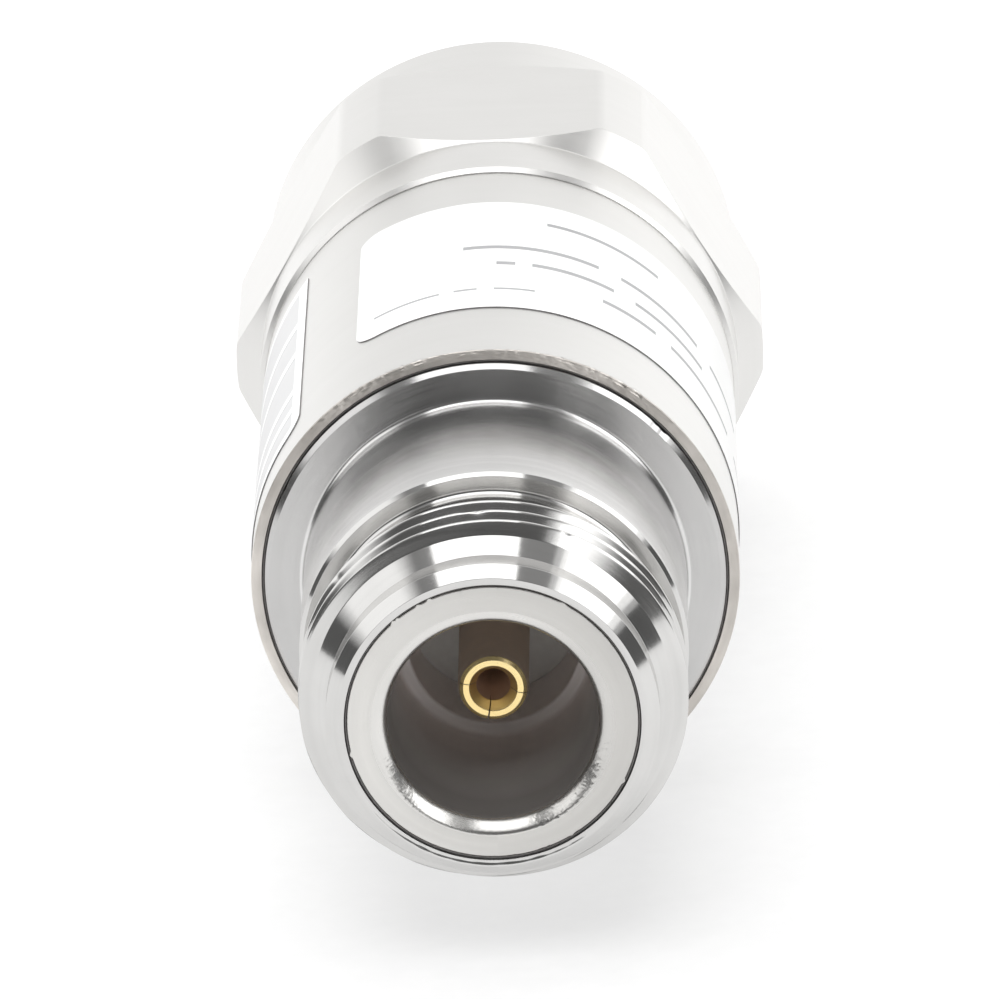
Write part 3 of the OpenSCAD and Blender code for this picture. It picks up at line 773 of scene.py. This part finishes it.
Rg = np.vstack([outs[:, :, 0], rt, np.repeat(inside[:, :1], ncol, 1)])
Yg = np.vstack([outs[:, :, 1], np.repeat(thread_ys[:, None], ncol, 1), np.repeat(inside[:, 1:2], ncol, 1)])
V = turn(Rg, Yg, np.repeat(angles[None], len(Rg), 0)).reshape(-1, 3)
F = outward(V, grid_faces(len(Rg), ncol))
make("coupling_nut_hex", V, F, [M_NUT], body="nut", replaces="coupling_nut")

# ---------------------------------------------------------------- plug: slotted outer contact, pin and washer
fin = rounded([
    (LINE_R, REF_Y - 7.2, 0.0), (FERRULE_R, REF_Y - 7.2, 0.0), (FERRULE_R, REF_Y - 0.2, 0.05),
    (FERRULE_R - 0.2, REF_Y, 0.05), (LINE_R, REF_Y, 0.06)])
parts = []
for k in range(6):
    g = 0.15 / 3.75
    parts.append(sector(fin, math.radians(11 + 60 * k) + g, math.radians(71 + 60 * k) - g, 26))
root = rounded([
    (LINE_R, FERRULE_Y0, 0.03), (4.9, FERRULE_Y0, 0.05), (4.9, SHANK_END, 0.05), (FERRULE_BASE_R, SHANK_END, 0.05),
    (FERRULE_BASE_R, SEAT_Y, 0.05), (FERRULE_R, SEAT_Y, 0.03), (FERRULE_R, REF_Y - 7.18, 0.0), (LINE_R, REF_Y - 7.18, 0.0)])
parts.append(revolve(root, 160))
V, F = joined(parts)
make("plug_outer_contact", V, F, [M_FERRULE], replaces="plug_ferrule")

pin = rounded([
    (0, CARD_Y1 - 0.02, 0), (CORE_R, CARD_Y1 - 0.02, 0.05), (CORE_R, REF_Y - 5.5, 0.05), (CORE_R - 0.15, REF_Y - 5.35, 0.04),
    (PIN_R, REF_Y - 5.35, 0.05), (PIN_R, REF_Y - 1.1, 0.3), (0.38, REF_Y - 0.28, 0.12), (0.0, REF_Y - 0.15, 0)],
    closed=False)
parts = [spindle(pin, 96)]
for s in (1, -1):
    w = math.asin(CARD_T / 2 / CORE_R)
    n = 17
    angs = np.linspace(-math.pi / 2 + w, math.pi / 2 - w, n)
    ring_p = [(CORE_R * math.sin(a), s * CORE_R * math.cos(a)) for a in angs]
    Vj = np.array([(px, yy, pz) for yy in (CARD_Y1 - GRIP, CARD_Y1) for px, pz in ring_p])
    Fj = [[i, i + 1, n + i + 1, n + i] for i in range(n - 1)] + [[n - 1, 0, n, 2 * n - 1],
         list(range(n))[::-1], list(range(n, 2 * n))]
    parts.append((Vj, outward(Vj, Fj)))
V, F = joined(parts)
make("plug_centre_pin", V, F, [M_GOLD], replaces="plug_pin")

washer = rounded([
    (FERRULE_BASE_R, SHANK_END, 0.1), (7.0, SHANK_END, 0.15), (7.0, SEAT_Y, 0.28), (5.6, SEAT_Y - 0.03, 0.6),
    (FERRULE_BASE_R, SEAT_Y, 0.2)])
V, F = revolve(washer, 160)
make("nut_washer", V, F, [M_RUBBER], replaces="nut_gasket")

# ---------------------------------------------------------------- finishes on the solids that stay
keep = {"jack_bead": M_PTFE, "plug_bead": M_PTFE, "upper_ground_block": M_BRASS, "lower_ground_block": M_BRASS,
        "resistor_card": M_CARD, "plug_body": M_NECK, "snap_ring": M_STEEL}
for name, mat in keep.items():
    me = nodes[name].data
    me.materials.clear()
    me.materials.append(mat)

# ---------------------------------------------------------------- floor, light and camera
FLOOR_Z = -AF / 2 * MM
fm, nt, bs = new_mat("floor_paper_glowing")
obj, _, fy, *_ = coords(nt)
n1 = noise(nt, obj, 900.0, 3.0, 0.5)
nt.links.new(ramp(nt, n1, [(0.3, (0.33, 0.33, 0.33)), (0.7, (0.35, 0.35, 0.35))]), bs.inputs["Base Color"])
# painted light: the floor glows, a little more towards the back, which lifts the shadow under the object
bs.inputs["Emission Color"].default_value = (1.0, 1.0, 1.0, 1.0)
nt.links.new(span(nt, fy, 0.60, 0.80, 0.03, 0.13), bs.inputs["Emission Strength"])
bs.inputs["Roughness"].default_value = 0.7
bs.inputs["Specular IOR Level"].default_value = 0.2
me = bpy.data.meshes.new("floor")
S = 1.6
me.from_pydata([(-S, -S, FLOOR_Z), (S, -S, FLOOR_Z), (S, S, FLOOR_Z), (-S, S, FLOOR_Z)], [], [(0, 1, 2, 3)])
me.materials.append(fm)
floor = bpy.data.objects.new("floor", me)
scene.collection.objects.link(floor)


def softbox(name, centre, aim, size_x, size_y, radiance, up=(0, 1, 0)):
    li = bpy.data.lights.new(name, "AREA")
    li.shape = "RECTANGLE"
    li.size, li.size_y = size_x, size_y
    li.energy = radiance * math.pi * size_x * size_y
    ob = bpy.data.objects.new(name, li)
    scene.collection.objects.link(ob)
    c, a = Vector(centre), Vector(aim)
    zax = (c - a).normalized()
    yax = Vector(up) - zax * Vector(up).dot(zax)
    yax.normalize()
    xax = yax.cross(zax)
    m = Matrix((xax, yax, zax)).transposed().to_4x4()
    m.translation = c
    ob.matrix_world = m
    return ob


H = 0.6
softbox("softbox_top", (-0.125 * H, -0.24 * H, H), (-0.125 * H, -0.24 * H, 0), 0.75 * H, 1.02 * H, 1.65)
# the same box again for the matt surfaces only
paper = softbox("softbox_top_fill", (-0.125 * H, -0.24 * H, 1.01 * H), (-0.125 * H, -0.24 * H, 0), 0.75 * H, 1.02 * H, 2.2)
paper.visible_glossy = False
# strips at the right with soft edges: they show in the metal and do not cast the floor's shadow
for k, (x0, x1, y0, y1, power) in enumerate(((0.76, 2.2, -1.7, 0.35, 1.0), (0.68, 2.7, -1.95, 0.42, 0.7),
                                             (0.60, 3.2, -2.2, 0.5, 0.45))):
    z = 0.35 + 0.002 * k
    strip = softbox("softbox_right_%d" % k, ((x0 + x1) / 2 * z, (y0 + y1) / 2 * z, z), ((x0 + x1) / 2 * z, (y0 + y1) / 2 * z, 0),
                    (x1 - x0) * z, (y1 - y0) * z, power)
    strip.visible_diffuse = False
# broad weak fill from the right for the paper surfaces
fill = softbox("fill_right", (0.9, -0.25, 0.42), (0, 0.02, 0), 0.9, 0.6, 1.0, up=(0, 0, 1))
fill.visible_glossy = False

world = bpy.data.worlds.new("studio")
scene.world = world
world.use_nodes = True
nt = world.node_tree
nt.nodes.clear()
out = nt.nodes.new("ShaderNodeOutputWorld")
tc = nt.nodes.new("ShaderNodeTexCoord")
sep = nt.nodes.new("ShaderNodeSeparateXYZ")
nt.links.new(tc.outputs["Generated"], sep.inputs[0])
dx, dy, dz = sep.outputs
back = math_node(nt, "MULTIPLY", span(nt, dy, 0.0, 1.0, 0.04, 0.36), span(nt, dz, 1.2, 1.0, 0.04, 0.3))
back = math_node(nt, "MULTIPLY", back, span(nt, dx, 0.99, 1.12, 0.0, 0.3))
left = math_node(nt, "MULTIPLY", span(nt, dx, 0.0, 1.0, -0.48, -0.66), math_node(
    nt, "MULTIPLY", span(nt, dz, 0.0, 1.0, 0.2, 0.34), span(nt, dz, 1.0, 0.0, 0.72, 0.84)))
left = math_node(nt, "MULTIPLY", left, span(nt, dy, 1.3, 1.5, -0.1, 0.25))
low = span(nt, dz, 0.9, 0.0, -0.12, 0.03)
over = math_node(nt, "MULTIPLY", span(nt, dz, 0.0, 1.0, 0.55, 0.8), 0.32)
card = math_node(nt, "MULTIPLY", span(nt, dx, 0.0, 1.4, 0.2, 0.36), math_node(
    nt, "MULTIPLY", span(nt, dy, 1.0, 0.0, -0.82, -0.62), span(nt, dz, 1.0, 0.0, 0.0, 0.12)))
L = math_node(nt, "MAXIMUM", math_node(nt, "MAXIMUM", back, card), left)
L = math_node(nt, "MAXIMUM", math_node(nt, "MAXIMUM", L, low), math_node(nt, "MAXIMUM", over, 0.12))
bg = nt.nodes.new("ShaderNodeBackground")
nt.links.new(L, bg.inputs["Strength"])
bg.inputs["Color"].default_value = (1.0, 0.998, 0.995, 1)
nt.links.new(bg.outputs[0], out.inputs["Surface"])

scene.view_settings.view_transform = "Standard"
scene.view_settings.look = "None"
scene.view_settings.exposure = 0.0
scene.view_settings.gamma = 1.0

K = 1.006
pitch, yaw, roll = math.radians(21.356), math.radians(-1.2627), math.radians(2.3724)
fwd = Vector((math.sin(yaw) * math.cos(pitch), math.cos(yaw) * math.cos(pitch), -math.sin(pitch)))
rt_ = Vector((math.cos(yaw), -math.sin(yaw), 0))
up_ = rt_.cross(fwd)
xa = rt_ * math.cos(roll) - up_ * math.sin(roll)
ya = rt_ * math.sin(roll) + up_ * math.cos(roll)
cam = bpy.data.cameras.new("camera")
cam.sensor_width = 36.0
cam.sensor_fit = "HORIZONTAL"
cam.lens = 11321.44 * 36.0 / 1000.0
cam.clip_start, cam.clip_end = 0.02, 50.0
cam_ob = bpy.data.objects.new("camera", cam)
scene.collection.objects.link(cam_ob)
m = Matrix((xa, ya, -fwd)).transposed().to_4x4()
m.translation = Vector((9.924, -420.0, 173.876)) * K * MM
cam_ob.matrix_world = m
scene.camera = cam_ob
